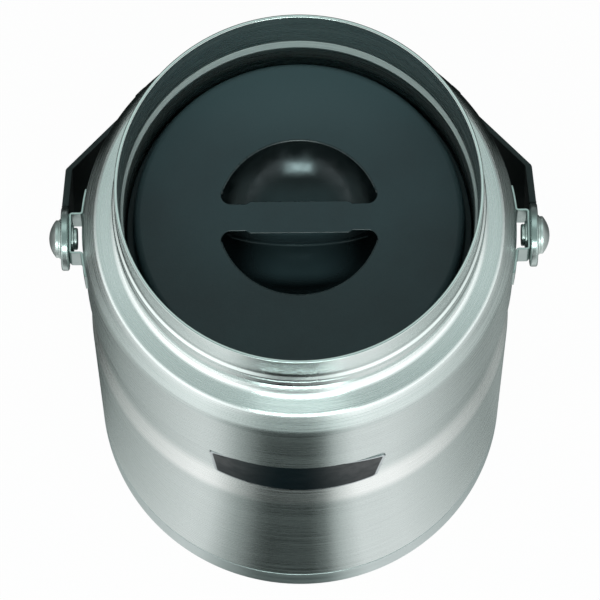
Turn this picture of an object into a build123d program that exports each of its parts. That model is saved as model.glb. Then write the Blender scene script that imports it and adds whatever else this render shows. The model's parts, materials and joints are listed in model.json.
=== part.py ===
# Insulated food jar: double-walled steel body, lift-out stopper and folding carry handle.
# Millimetres. Z is the jar's axis, Z = 0 is the face it stands on, +X is the right-hand pivot,
# -Y is the front with the badge, and the handle lies folded down behind the jar, on +Y.
import math
import os

from build123d import *

os.makedirs("parts", exist_ok=True)

# ---- outer casing, from the rim down ----
jar_height = 187.0
body_radius = 60.0
neck_inset = 10.0  # the neck's radius is this much less than the body's
casing_wall = 0.5
bead_crest = 1.0  # how far the two thread beads stand out from the neck
bead_root = 0.15  # how far the groove between the beads stands out
upper_bead_drop = 11.6
upper_bead_height = 3.6
bead_gap = 0.8
lower_bead_height = 5.0
neck_foot_height = 4.4
collar_fall = 1.9
shoulder_inset = 3.8
shoulder_height = 5.9
upper_cylinder_height = 31.1
crease_height = 0.6
crease_depth = 1.6
panel_height = 17.6
flare_height = 17.0
bead_round = 0.6
neck_foot_round = 3.0
collar_round = 1.0
shoulder_round = 4.0
crease_round = 0.4
flare_top_blend = 7.0  # length of the panel taken up by each of the flare's two curves
flare_foot_blend = 5.0

# ---- base ----
base_height = 12.3
base_wall = 0.65
base_corner = 2.2
base_casing_gap = 0.25
casing_foot_gap = 0.4
groove_inset = 12.0
groove_width = 5.0
groove_depth = 0.8
spigot_clearance = 0.05
seam_round = 0.5
floor_plate_height = 5.4
floor_plate_thickness = 0.6
floor_flange_height = 2.4
evacuation_hole = 1.5
seal_radius = 2.6
seal_thickness = 1.2
getter_radius = 4.0
getter_height = 2.0
getter_offset = 30.0

# ---- inner vessel ----
lip_thickness = 1.0
lip_height = 2.0
vessel_wall = 0.45
neck_taper_height = 16.7
neck_taper = 0.35
step_height = 3.6
step_width = 0.55
neck_well_height = 18.7
seat_width = 2.5
seat_slope = 0.6
seat_round = 0.6
throat_height = 3.0
vessel_shoulder_height = 9.4
vessel_shoulder_round = 5.0
vacuum_gap = 4.6
vessel_floor_gap = 4.55
vessel_corner = 12.0
foil_thickness = 0.2
foil_margin = 4.0

# ---- stopper ----
lid_rise = 12.1
lid_side_gap = 2.7
lid_edge_round = 2.0
lid_shell = 2.2
lid_flange_height = 3.0
lid_flange_gap = 0.5
bowl_radius = 22.5
bowl_depth = 11.8
bar_width = 8.0
bar_pad_width = 9.4
bar_pad_length = 28.0
bar_end_round = 2.6
gasket_height = 2.4
gasket_chamfer = 0.6
gasket_gap = 0.05
gasket_neck_gap = 0.3
gasket_bore_gap = 0.15
stopper_throat_gap = 0.8
stopper_depth = 15.6
stopper_wall = 2.0
stopper_corner = 3.0
spigot_height = 5.4
spigot_gap = 0.05
foam_gap = 0.2

# ---- badge ----
badge_top_half = 24.8
badge_foot_half = 22.9
badge_drop = 0.4
badge_height = 22.6
badge_arch = 5.6
badge_foot_arch = 2.2
badge_corner = 1.5
badge_thickness = 0.9
badge_border = 0.9
badge_offset = 1.2  # the badge is stuck on slightly off centre, towards -X
badge_tilt = 2.2
inlay_depth = 0.4
inlay_proud = 0.05

# ---- handle ----
pivot_below_shoulder = 7.9
fold_angle = 48.0  # degrees below the horizontal when the handle is folded back
pin_radius = 2.5
pin_clearance = 0.08
side_clearance = 0.1
bracket_wall = 0.6
bracket_height = 10.2
bracket_standoff = 3.05
bracket_half_width = 6.0
bracket_reach = 12.9
bracket_bend = 0.9
eye_radius = 8.8
eye_thickness = 2.1
eye_edge = 0.5
eye_notch_gap = 0.05
tongue_width = 11.0
tongue_length = 16.0
tongue_thickness = 0.7
tongue_inset = 0.25
slot_gap = 0.05
washer_radius = 5.5
washer_thickness = 0.5
head_radius = 5.2
head_height = 2.85
head_edge_height = 0.9
tail_radius = 3.1
tail_height = 1.1
tail_washer_radius = 3.9
tail_washer_thickness = 0.6
strap_width = 16.8
strap_thickness = 2.0
strap_edge = 0.4
arm_start = 3.0
arm_length = 31.0
arm_clearance = 3.2
arm_round = 2.5
bow_round = 20.0
grip_rest_gap = 0.3
grip_width = 19.0
grip_outside = 1.0
grip_inside = 2.0
grip_reach = 19.0  # how far the grip runs up the arms from the crossbar's outer face
grip_edge = 0.8

# ---- radii and heights worked out from the sizes above ----
lip_round = 0.8 * min(casing_wall, lip_thickness - casing_wall)
rim_radius = body_radius - neck_inset
upper_bead_top = jar_height - upper_bead_drop
upper_bead_foot = upper_bead_top - upper_bead_height
lower_bead_top = upper_bead_foot - bead_gap
lower_bead_foot = lower_bead_top - lower_bead_height
collar_top = lower_bead_foot - neck_foot_height
shoulder_top = collar_top - collar_fall
shoulder_foot = shoulder_top - shoulder_height
crease_top = shoulder_foot - upper_cylinder_height
crease_foot = crease_top - crease_height
flare_top = crease_foot - panel_height
flare_foot = flare_top - flare_height
panel_radius = body_radius - crease_depth
flare_half_turn = math.atan2(crease_depth, flare_height) / 2
flare_top_round = flare_top_blend / math.tan(flare_half_turn)
flare_foot_round = flare_foot_blend / math.tan(flare_half_turn)
casing_foot = base_corner + casing_foot_gap
spigot_radius = body_radius - base_wall - spigot_clearance
floor_plate_top = floor_plate_height + floor_plate_thickness

neck_inner = rim_radius - lip_thickness
step_radius = neck_inner - neck_taper
well_radius = step_radius - step_width
throat_radius = well_radius - seat_width
step_top = jar_height - neck_taper_height
step_foot = step_top - step_height
seat_height = step_foot - neck_well_height
throat_top = seat_height - seat_slope
throat_foot = throat_top - throat_height
vessel_shoulder = throat_foot - vessel_shoulder_height
belly_radius = body_radius - casing_wall - vacuum_gap - vessel_wall
belly_outer = belly_radius + vessel_wall
vessel_floor = floor_plate_top + vessel_floor_gap + vessel_wall

gasket_foot = seat_height + gasket_gap
gasket_top = gasket_foot + gasket_height
flange_foot = gasket_top + gasket_gap
flange_top = flange_foot + lid_flange_height
lid_face = flange_foot + lid_rise
lid_side = well_radius - lid_side_gap
lid_flange_radius = well_radius - lid_flange_gap
lid_inner = lid_side - lid_shell
stopper_radius = throat_radius - stopper_throat_gap
stopper_foot = flange_foot - stopper_depth
spigot_top = flange_foot + spigot_height
spigot_outer = lid_inner - spigot_gap
bowl_sphere = (bowl_radius**2 + bowl_depth**2) / (2 * bowl_depth)
bowl_centre = lid_face + bowl_sphere - bowl_depth

pivot_height = shoulder_foot - pivot_below_shoulder
bracket_face = body_radius + bracket_standoff + bracket_wall
eye_inner = bracket_face + side_clearance
eye_outer = eye_inner + eye_thickness
washer_inner = eye_outer + side_clearance
head_inner = washer_inner + washer_thickness
tail_washer_outer = bracket_face - bracket_wall
tail_outer = tail_washer_outer - tail_washer_thickness
fold = math.radians(fold_angle)
fold_plane = Plane(
    origin=(0, 0, pivot_height), x_dir=(1, 0, 0), z_dir=(0, math.sin(fold), math.cos(fold))
)


def rounded_line(corners):
    # a line through (radius, height, rounding) corners, its two ends left sharp
    points = [(radius, height) for radius, height, rounding in corners]
    return FilletPolyline(*points, radius=[rounding for radius, height, rounding in corners[1:-1]])


def write_piece(piece, name):
    piece.label = name
    export_step(piece, f"parts/{name}.step")


def write_pair(piece, name):
    write_piece(piece, f"{name}_right")
    write_piece(mirror(piece, about=Plane.YZ), f"{name}_left")


# ---- outer casing: a drawn and rolled sheet, its wall thickened inwards ----
bead_radius = rim_radius + bead_crest
casing_corners = [
    (spigot_radius, casing_foot, 0),
    (spigot_radius, base_height, seam_round),
    (body_radius, base_height + casing_wall, seam_round),
    (body_radius, flare_foot, flare_foot_round),
    (panel_radius, flare_top, flare_top_round),
    (panel_radius, crease_foot, crease_round),
    (body_radius, crease_top, crease_round),
    (body_radius, shoulder_foot, shoulder_round),
    (body_radius - shoulder_inset, shoulder_top, collar_round),
    (rim_radius, collar_top, neck_foot_round),
    (rim_radius, lower_bead_foot, bead_round),
    (bead_radius, lower_bead_foot + bead_crest, bead_round),
    (bead_radius, lower_bead_top - bead_crest, bead_round),
    (rim_radius + bead_root, lower_bead_top + bead_gap / 2, bead_round),
    (bead_radius, upper_bead_foot + bead_crest, bead_round),
    (bead_radius, upper_bead_top - bead_crest, bead_round),
    (rim_radius, upper_bead_top, bead_round),
    (rim_radius, jar_height, 0),
]

with BuildPart() as outer_casing:
    with BuildSketch(Plane.XZ):
        with BuildLine():
            rounded_line(casing_corners)
            offset(amount=casing_wall, side=Side.LEFT)
        make_face()
    revolve(axis=Axis.Z)
    rim_edges = outer_casing.edges().filter_by(GeomType.CIRCLE).group_by(Axis.Z)[-1]
    fillet(rim_edges.sort_by(SortBy.RADIUS)[-1], lip_round)
write_piece(outer_casing.part, "outer_casing")


# ---- inner vessel: neck with a step, gasket seat, belly and floor ----
vessel_corners = [
    (0, vessel_floor, 0),
    (belly_radius, vessel_floor, vessel_corner),
    (belly_radius, vessel_shoulder, vessel_shoulder_round),
    (throat_radius, throat_foot, seat_round + vessel_wall),
    (throat_radius, throat_top, seat_round + vessel_wall),
    (well_radius, seat_height, seat_round),
    (well_radius, step_foot, seat_round),
    (step_radius, step_top, seat_round),
    (neck_inner, jar_height, 0),
]

with BuildPart() as inner_vessel:
    with BuildSketch(Plane.XZ):
        with BuildLine():
            rounded_line(vessel_corners)
            offset(amount=vessel_wall, side=Side.RIGHT)
        make_face()
    revolve(axis=Axis.Z)
    # at the lip the sheet is folded to the full thickness and welded to the casing
    with BuildSketch(Plane.XY.offset(jar_height - lip_height)):
        Circle(rim_radius - casing_wall)
        Circle(neck_inner, mode=Mode.SUBTRACT)
    extrude(amount=lip_height)
    rim_edges = inner_vessel.edges().filter_by(GeomType.CIRCLE).group_by(Axis.Z)[-1]
    fillet(rim_edges.sort_by(SortBy.RADIUS)[0], lip_round)
write_piece(inner_vessel.part, "inner_vessel")


# ---- vacuum space: floor plate with its evacuation hole, seal, getter and foil ----
plate_radius = spigot_radius - casing_wall
with BuildPart() as casing_floor:
    with BuildSketch(Plane.XY.offset(floor_plate_height)):
        Circle(plate_radius)
        Circle(evacuation_hole, mode=Mode.SUBTRACT)
    extrude(amount=floor_plate_thickness)
    with BuildSketch(Plane.XY.offset(floor_plate_height)):
        Circle(plate_radius)
        Circle(plate_radius - floor_plate_thickness, mode=Mode.SUBTRACT)
    extrude(amount=-floor_flange_height)
write_piece(casing_floor.part, "casing_floor")

with BuildPart() as vacuum_seal:
    with BuildSketch(Plane.XY.offset(floor_plate_height)):
        Circle(seal_radius)
    extrude(amount=-seal_thickness)
    fillet(vacuum_seal.edges().group_by(Axis.Z)[0], seal_thickness / 2)
write_piece(vacuum_seal.part, "vacuum_seal")

with BuildPart() as getter:
    with BuildSketch(Plane.XY.offset(floor_plate_top)):
        with Locations((getter_offset, 0)):
            Circle(getter_radius)
    extrude(amount=getter_height)
    chamfer(getter.edges().group_by(Axis.Z)[-1], getter_height / 4)
write_piece(getter.part, "getter")

foil_foot = vessel_floor + vessel_corner + foil_margin
foil_top = vessel_shoulder - vessel_shoulder_round - foil_margin
with BuildPart() as heat_shield:
    with BuildSketch(Plane.XY.offset(foil_foot)):
        Circle(belly_outer + foil_thickness)
        Circle(belly_outer, mode=Mode.SUBTRACT)
    extrude(amount=foil_top - foil_foot)
write_piece(heat_shield.part, "heat_shield")


# ---- base cover: a pressed cup over the casing's foot, with a ring pressed into its face ----
groove_radius = body_radius - groove_inset
base_corners = [
    (0, 0, 0),
    (groove_radius - groove_width / 2, 0, groove_depth / 2),
    (groove_radius - groove_width / 2 + groove_depth, groove_depth, groove_depth / 2),
    (groove_radius + groove_width / 2 - groove_depth, groove_depth, groove_depth / 2),
    (groove_radius + groove_width / 2, 0, groove_depth / 2),
    (body_radius, 0, base_corner),
    (body_radius, base_height - base_casing_gap, 0),
]

with BuildPart() as base_cover:
    with BuildSketch(Plane.XZ):
        with BuildLine():
            rounded_line(base_corners)
            offset(amount=base_wall, side=Side.LEFT)
        make_face()
    revolve(axis=Axis.Z)
write_piece(base_cover.part, "base_cover")


# ---- badge: a bent plate on the casing's panel, with a dark inlay let into it ----
badge_top = crease_foot - badge_drop
badge_centre = badge_top - badge_height / 2
badge_plane = Plane(
    origin=(-badge_offset, 0, badge_centre), x_dir=(1, 0, 0), z_dir=(0, -1, 0)
).rotated((0, 0, -badge_tilt))
badge_reach = 2 * body_radius
panel_corners = [
    (panel_radius, crease_foot, 0),
    (panel_radius, flare_top, flare_top_round),
    (body_radius, flare_foot, 0),
]
half_height = badge_height / 2

with BuildSketch(badge_plane) as badge_outline:
    with BuildLine():
        top_left = (-badge_top_half, half_height - badge_arch)
        top_right = (badge_top_half, half_height - badge_arch)
        foot_left = (-badge_foot_half, badge_foot_arch - half_height)
        foot_right = (badge_foot_half, badge_foot_arch - half_height)
        ThreePointArc(top_left, (0, half_height), top_right)
        Line(top_right, foot_right)
        ThreePointArc(foot_right, (0, -half_height), foot_left)
        Line(foot_left, top_left)
    make_face()
    fillet(badge_outline.vertices(), badge_corner)

with BuildPart() as badge_face:
    with BuildSketch(badge_plane):
        add(badge_outline.sketch_local)
        offset(amount=-badge_border)
    extrude(amount=badge_reach)
    with BuildSketch(Plane.XZ):
        with BuildLine():
            rounded_line(panel_corners)
            offset(amount=badge_thickness + inlay_proud, side=Side.LEFT)
        make_face()
        with BuildLine():
            rounded_line(panel_corners)
            offset(amount=badge_thickness - inlay_depth, side=Side.LEFT)
        make_face(mode=Mode.SUBTRACT)
    revolve(axis=Axis.Z, mode=Mode.INTERSECT)
write_piece(badge_face.part, "badge_face")

with BuildPart() as badge_plate:
    with BuildSketch(badge_plane):
        add(badge_outline.sketch_local)
    extrude(amount=badge_reach)
    with BuildSketch(Plane.XZ):
        with BuildLine():
            rounded_line(panel_corners)
            offset(amount=badge_thickness, side=Side.LEFT)
        make_face()
    revolve(axis=Axis.Z, mode=Mode.INTERSECT)
    add(badge_face.part, mode=Mode.SUBTRACT)
write_piece(badge_plate.part, "badge_plate")


# ---- stopper: top shell with two finger recesses, lower cup, foam core and gasket ----
with BuildPart() as finger_recess:
    with BuildSketch(Plane.XY.offset(lid_face)) as recess_plan:
        Circle(bowl_radius)
        Rectangle(2 * body_radius, bar_width, mode=Mode.SUBTRACT)
        Rectangle(bar_pad_length, bar_pad_width, mode=Mode.SUBTRACT)
        tips = recess_plan.vertices().group_by(Axis.X)
        fillet(tips[0] + tips[-1], bar_end_round)
    extrude(amount=-bowl_depth)
    with Locations((0, 0, bowl_centre)):
        Sphere(bowl_sphere, mode=Mode.INTERSECT)

with BuildPart() as lid_top:
    with BuildSketch(Plane.XZ):
        with BuildLine():
            lid_corners = [
                (0, lid_face, 0),
                (lid_side, lid_face, lid_edge_round),
                (lid_side, flange_top, lid_edge_round / 2),
                (lid_flange_radius, flange_top, lid_flange_gap),
                (lid_flange_radius, flange_foot, 0),
            ]
            lid_line = rounded_line(lid_corners)
            Polyline(lid_line @ 1, (lid_inner, flange_foot), (lid_inner, lid_face - lid_shell),
                     (0, lid_face - lid_shell), lid_line @ 0)
        make_face()
    revolve(axis=Axis.Z)
    # the moulded bowl under the grip bar
    with BuildSketch(Plane.XZ):
        with Locations((0, bowl_centre)):
            Circle(bowl_sphere + lid_shell)
        with Locations((0, lid_face - lid_shell / 2)):
            Rectangle(2 * lid_inner, 2 * body_radius, align=(Align.MIN, Align.MAX), mode=Mode.INTERSECT)
    revolve(axis=Axis.Z)
    add(finger_recess.part, mode=Mode.SUBTRACT)
write_piece(lid_top.part, "lid_top")

with BuildPart() as lid_base:
    with BuildSketch(Plane.XZ):
        with BuildLine():
            cup_corners = [
                (0, stopper_foot, 0),
                (stopper_radius, stopper_foot, stopper_corner),
                (stopper_radius, flange_foot, 0),
            ]
            cup_line = rounded_line(cup_corners)
            Polyline(cup_line @ 1, (spigot_outer, flange_foot), (spigot_outer, spigot_top),
                     (spigot_outer - stopper_wall, spigot_top),
                     (spigot_outer - stopper_wall, stopper_foot + stopper_wall),
                     (0, stopper_foot + stopper_wall), cup_line @ 0)
        make_face()
    revolve(axis=Axis.Z)
write_piece(lid_base.part, "lid_base")

foam_radius = spigot_outer - stopper_wall - foam_gap
foam_foot = stopper_foot + stopper_wall + foam_gap
foam_top = lid_face - lid_shell - foam_gap
with BuildPart() as lid_foam:
    with BuildSketch(Plane.XY.offset(foam_foot)):
        Circle(foam_radius)
    extrude(amount=foam_top - foam_foot)
    with Locations((0, 0, bowl_centre)):
        Sphere(bowl_sphere + lid_shell + foam_gap, mode=Mode.SUBTRACT)
write_piece(lid_foam.part, "lid_foam")

with BuildPart() as lid_gasket:
    with BuildSketch(Plane.XY.offset(gasket_foot)):
        Circle(well_radius - gasket_neck_gap)
        Circle(stopper_radius + gasket_bore_gap, mode=Mode.SUBTRACT)
    extrude(amount=gasket_height)
    gasket_edges = lid_gasket.edges().filter_by(GeomType.CIRCLE).sort_by(SortBy.RADIUS)[-2:]
    chamfer(gasket_edges, gasket_chamfer)
write_piece(lid_gasket.part, "lid_gasket")


# ---- pivots: a bent strap welded to the casing, and a rivet through it ----
with BuildPart() as bracket:
    with BuildSketch(Plane.XY.offset(pivot_height - bracket_height / 2)) as bracket_plan:
        Circle(body_radius + bracket_wall)
        with Locations((body_radius, 0)):
            Rectangle(bracket_standoff + body_radius, 2 * bracket_reach, mode=Mode.INTERSECT)
        with Locations((bracket_face, 0)):
            Rectangle(bracket_standoff * 2, 2 * bracket_half_width, align=(Align.MAX, Align.CENTER))
        with Locations((tail_washer_outer, 0)):
            Rectangle(bracket_standoff * 3, 2 * (bracket_half_width - bracket_wall),
                      align=(Align.MAX, Align.CENTER), mode=Mode.SUBTRACT)
        Circle(body_radius, mode=Mode.SUBTRACT)
        corners = bracket_plan.vertices().group_by(Axis.X)[-1]
        fillet(corners, bracket_bend)
    extrude(amount=bracket_height)
    with BuildSketch(Plane.YZ):
        with Locations((0, pivot_height)):
            Circle(pin_radius)
    extrude(amount=head_inner, mode=Mode.SUBTRACT)
write_pair(bracket.part, "bracket")

dome_rise = head_height - head_edge_height
dome_radius = (head_radius**2 + dome_rise**2) / (2 * dome_rise)
dome_half_turn = math.asin(head_radius / dome_radius) / 2
with BuildPart() as rivet:
    with BuildSketch(Plane.XZ):
        with BuildLine():
            dome_top = (head_inner + head_height, pivot_height)
            dome_edge = (head_inner + head_edge_height, pivot_height + head_radius)
            dome_side = (
                head_inner + head_height - dome_radius * (1 - math.cos(dome_half_turn)),
                pivot_height + dome_radius * math.sin(dome_half_turn),
            )
            ThreePointArc(dome_top, dome_side, dome_edge)
            Polyline(dome_edge, (head_inner, pivot_height + head_radius),
                     (head_inner, pivot_height + pin_radius), (tail_outer, pivot_height + pin_radius),
                     (tail_outer, pivot_height + tail_radius),
                     (tail_outer - tail_height, pivot_height + tail_radius),
                     (tail_outer - tail_height, pivot_height), dome_top)
        make_face()
    revolve(axis=Axis(origin=(0, 0, pivot_height), direction=(1, 0, 0)))
write_pair(rivet.part, "rivet")

with BuildPart() as tail_washer:
    with BuildSketch(Plane.YZ.offset(tail_outer)):
        with Locations((0, pivot_height)):
            Circle(tail_washer_radius)
            Circle(pin_radius, mode=Mode.SUBTRACT)
    extrude(amount=tail_washer_thickness)
write_pair(tail_washer.part, "tail_washer")

with BuildPart() as pivot_washer:
    with BuildSketch(Plane.YZ.offset(washer_inner)):
        with Locations((0, pivot_height)):
            Circle(washer_radius)
            Circle(pin_radius, mode=Mode.SUBTRACT)
    extrude(amount=washer_thickness)
write_pair(pivot_washer.part, "pivot_washer")


# ---- handle: an eye plate on each rivet, its tongue let into the end of a bent strap ----
tongue_centre = (eye_inner + eye_outer) / 2 - tongue_inset
with BuildPart() as handle_eye:
    with BuildSketch(Plane.YZ.offset(eye_inner)):
        with Locations((0, pivot_height)):
            Circle(eye_radius)
    extrude(amount=eye_thickness)
    eye_rims = handle_eye.edges().filter_by(GeomType.CIRCLE)
    fillet(eye_rims, eye_edge)
    with BuildSketch(fold_plane):
        with Locations((tongue_centre, tongue_length / 2)):
            Rectangle(tongue_thickness, tongue_length)
    extrude(amount=tongue_width / 2, both=True)
    with BuildSketch(Plane.YZ):
        with Locations((0, pivot_height)):
            Circle(pin_radius + pin_clearance)
    extrude(amount=washer_inner, mode=Mode.SUBTRACT)
write_pair(handle_eye.part, "handle_eye")

# Seen from above, the inside lower edge of each arm runs past the casing with arm_clearance:
# that sets how far the arms slant in. The crossbar stops the grip grip_rest_gap from the casing.
crossbar_inside = (
    (body_radius + grip_rest_gap + grip_width / 2 * math.sin(fold)) / math.cos(fold) + grip_inside
)
corner_behind = arm_length * math.cos(fold) - strap_width / 2 * math.sin(fold)
corner_distance = math.hypot(eye_inner, corner_behind)
tangent_angle = math.asin((body_radius + arm_clearance) / corner_distance)
plan_angle = tangent_angle - math.atan2(corner_behind, eye_inner)
arm_slant = math.cos(fold) / math.tan(plan_angle)
crossbar_half = eye_inner - (crossbar_inside - arm_length) * arm_slant
bow_points = [
    (-eye_inner, arm_start),
    (-eye_inner, arm_length),
    (-crossbar_half, crossbar_inside),
    (crossbar_half, crossbar_inside),
    (eye_inner, arm_length),
    (eye_inner, arm_start),
]


def bow_line():
    # the strap's inside line, from the left eye round the crossbar to the right eye
    return FilletPolyline(*bow_points, radius=[arm_round, bow_round, bow_round, arm_round])


with BuildPart() as handle_bow:
    with BuildSketch(fold_plane):
        with BuildLine():
            bow_line()
            offset(amount=strap_thickness, side=Side.LEFT)
        make_face()
    extrude(amount=strap_width / 2, both=True)
    strap_sides = handle_bow.faces().filter_by(Axis((0, 0, 0), fold_plane.z_dir))
    fillet(strap_sides.edges(), strap_edge)
    with BuildSketch(Plane.YZ):
        with Locations((0, pivot_height)):
            Circle(eye_radius + eye_notch_gap)
    extrude(amount=2 * body_radius, both=True, mode=Mode.SUBTRACT)
    with BuildSketch(fold_plane):
        with Locations((tongue_centre, 0), (-tongue_centre, 0)):
            Rectangle(tongue_thickness + 2 * slot_gap, 2 * (tongue_length + slot_gap))
    extrude(amount=tongue_width / 2 + slot_gap, both=True, mode=Mode.SUBTRACT)
write_piece(handle_bow.part, "handle_bow")

grip_foot = crossbar_inside + strap_thickness - grip_reach
with BuildPart() as handle_grip:
    with BuildSketch(fold_plane):
        with BuildLine():
            bow_line()
            offset(amount=strap_thickness + grip_outside, side=Side.LEFT)
        make_face()
        with BuildLine():
            bow_line()
            offset(amount=grip_inside, side=Side.RIGHT)
        make_face()
        with Locations((0, grip_foot)):
            Rectangle(4 * body_radius, 4 * body_radius, align=(Align.CENTER, Align.MIN),
                      mode=Mode.INTERSECT)
    extrude(amount=grip_width / 2, both=True)
    grip_sides = handle_grip.faces().filter_by(Axis((0, 0, 0), fold_plane.z_dir))
    fillet(grip_sides.edges(), grip_edge)
    add(handle_bow.part, mode=Mode.SUBTRACT)
write_piece(handle_grip.part, "handle_grip")
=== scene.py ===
import json
import math

import bmesh
import bpy
from mathutils import Matrix, Vector


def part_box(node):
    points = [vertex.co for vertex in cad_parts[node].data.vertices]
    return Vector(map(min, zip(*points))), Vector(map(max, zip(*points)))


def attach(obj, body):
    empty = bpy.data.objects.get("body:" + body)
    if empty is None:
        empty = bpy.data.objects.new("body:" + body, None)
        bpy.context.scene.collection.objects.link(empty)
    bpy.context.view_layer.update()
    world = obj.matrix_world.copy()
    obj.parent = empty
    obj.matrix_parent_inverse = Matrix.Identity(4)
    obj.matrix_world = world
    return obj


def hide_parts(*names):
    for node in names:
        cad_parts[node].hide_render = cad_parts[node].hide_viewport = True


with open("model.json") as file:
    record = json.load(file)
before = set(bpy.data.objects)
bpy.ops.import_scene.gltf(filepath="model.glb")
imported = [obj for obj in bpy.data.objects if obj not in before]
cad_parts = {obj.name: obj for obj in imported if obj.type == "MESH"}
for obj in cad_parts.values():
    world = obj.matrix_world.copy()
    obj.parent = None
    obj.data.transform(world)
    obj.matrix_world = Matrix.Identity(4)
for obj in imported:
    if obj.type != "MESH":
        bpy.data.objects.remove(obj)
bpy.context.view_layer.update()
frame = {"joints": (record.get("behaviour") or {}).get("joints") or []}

mm = 0.001
mergeGap = 0.003  # vertices closer than this, in millimetres, are one
near = 0.01       # places closer than this, in millimetres, are the same
spare = 3         # how far a cutter reaches past what it cuts, in millimetres


def nodeBox(node):
    low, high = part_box(node)
    return [v / mm for v in low], [v / mm for v in high]


bodyRadius = round(nodeBox("outer_casing")[1][0], 1)
jarHeight = round(nodeBox("outer_casing")[1][2], 1)
pivotHeight = frame["joints"][0]["pos_m"][2] / mm
eyeInner = round(nodeBox("handle_eye_right")[0][0], 2)
lidFace = round(nodeBox("lid_top")[1][2], 2)


# small helpers

def deselectAll():
    if bpy.context.object and bpy.context.object.mode != "OBJECT":
        bpy.ops.object.mode_set(mode="OBJECT")
    bpy.ops.object.select_all(action="DESELECT")


def editMode():
    bpy.ops.object.mode_set(mode="EDIT")


def objectMode():
    bpy.ops.object.mode_set(mode="OBJECT")


def applyPlace(piece):
    deselectAll()
    piece.select_set(True)
    bpy.context.view_layer.objects.active = piece
    bpy.ops.object.transform_apply(location=True, rotation=True, scale=True)


def pickVerts(test):
    mesh = bmesh.from_edit_mesh(bpy.context.object.data)
    bpy.ops.mesh.select_mode(type="VERT")
    bpy.ops.mesh.select_all(action="DESELECT")
    for vert in mesh.verts:
        vert.select_set(test(*(c / mm for c in vert.co)))
    bmesh.update_edit_mesh(bpy.context.object.data)


def pickEdges(test, bend=-1):
    # selects the edges whose two ends both pass the test, in millimetres, and that bend by more than
    # bend. An open edge has no bend of its own and counts as more than any.
    openBend = 7
    mesh = bmesh.from_edit_mesh(bpy.context.object.data)
    bpy.ops.mesh.select_mode(type="EDGE")
    bpy.ops.mesh.select_all(action="DESELECT")
    for edge in mesh.edges:
        if edge.calc_face_angle(openBend) > bend and all(
                test(*(c / mm for c in vert.co)) for vert in edge.verts):
            edge.select_set(True)
    bmesh.update_edit_mesh(bpy.context.object.data)


def pickFaces(test):
    # selects the faces whose centre, in millimetres, and normal pass the test
    mesh = bmesh.from_edit_mesh(bpy.context.object.data)
    bpy.ops.mesh.select_mode(type="FACE")
    bpy.ops.mesh.select_all(action="DESELECT")
    for face in mesh.faces:
        if test(face.calc_center_median() / mm, face.normal):
            face.select_set(True)
    bmesh.update_edit_mesh(bpy.context.object.data)


def modify(piece, kind, **settings):
    modifier = piece.modifiers.new(kind.title(), kind)
    for key, value in settings.items():
        setattr(modifier, key, value)
    bpy.context.view_layer.objects.active = piece
    bpy.ops.object.modifier_apply(modifier=modifier.name)


def cut(piece, cutter, operation="DIFFERENCE"):
    modify(piece, "BOOLEAN", operation=operation, solver="EXACT", object=cutter)
    bpy.data.objects.remove(cutter)


def roundEdges(piece, width, segments=3, above=40):
    modify(piece, "BEVEL", width=width * mm, segments=segments, limit_method="ANGLE",
           angle_limit=math.radians(above), use_clamp_overlap=False)


def closeSolid():
    bpy.ops.mesh.select_all(action="SELECT")
    bpy.ops.mesh.remove_doubles(threshold=mergeGap * mm)
    bpy.ops.mesh.normals_make_consistent(inside=False)
    objectMode()
    return bpy.context.object


def finishPiece(piece, name, body, material, replaces=(), smooth=32):
    applyPlace(piece)
    piece.name = name
    piece.data.name = name
    bpy.ops.object.shade_smooth_by_angle(angle=math.radians(smooth))
    modify(piece, "WEIGHTED_NORMAL", keep_sharp=True)
    piece.data.materials.clear()
    piece.data.materials.append(material)
    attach(piece, body)
    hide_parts(*replaces)
    return piece


def repaint(piece, material, test):
    # a second finish on the faces whose centre, in millimetres, and normal pass the test
    piece.data.materials.append(material)
    for face in piece.data.polygons:
        if test(face.center / mm, face.normal):
            face.material_index = len(piece.data.materials) - 1


def turnRings(corners, segments=240):
    # one ring round the Z axis per corner (radius, height), and then each corner that goes on with
    # (rounding, steps) is rounded
    deselectAll()
    poleRadius = 0.001
    radius, height = corners[0][:2]
    bpy.ops.mesh.primitive_circle_add(vertices=segments, radius=max(radius, poleRadius) * mm,
                                      location=(0, 0, height * mm), fill_type="NOTHING")
    bpy.ops.object.transform_apply(location=True)
    editMode()
    bpy.ops.mesh.select_all(action="SELECT")
    for nextRadius, nextHeight, *rest in corners[1:]:
        rise = (nextHeight - height) * mm
        bpy.ops.mesh.extrude_edges_move(TRANSFORM_OT_translate={"value": (0, 0, rise)})
        grow = max(nextRadius, poleRadius) / max(radius, poleRadius)
        bpy.ops.transform.resize(value=(grow, grow, 1))
        radius, height = nextRadius, nextHeight
    for radius, height, *blend in corners:
        if blend:
            pickEdges(lambda x, y, z: abs(math.hypot(x, y) - radius) < near and abs(z - height) < near)
            bpy.ops.mesh.bevel(offset=blend[0] * mm, segments=blend[1], affect="EDGES")
    bpy.ops.mesh.select_all(action="SELECT")
    bpy.ops.mesh.remove_doubles(threshold=mergeGap * mm)
    return bpy.context.object


def turnSolid(corners, segments=240):
    turnRings(corners, segments)
    return closeSolid()


def bowlArc(radius, centre, startHeight, steps):
    # corners down a sphere's lower half, from startHeight to its lowest point on the axis
    startTurn = math.acos((centre - startHeight) / radius)
    turns = [startTurn * (1 - step / steps) for step in range(steps + 1)]
    return [(radius * math.sin(turn), centre - radius * math.cos(turn)) for turn in turns]


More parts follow.
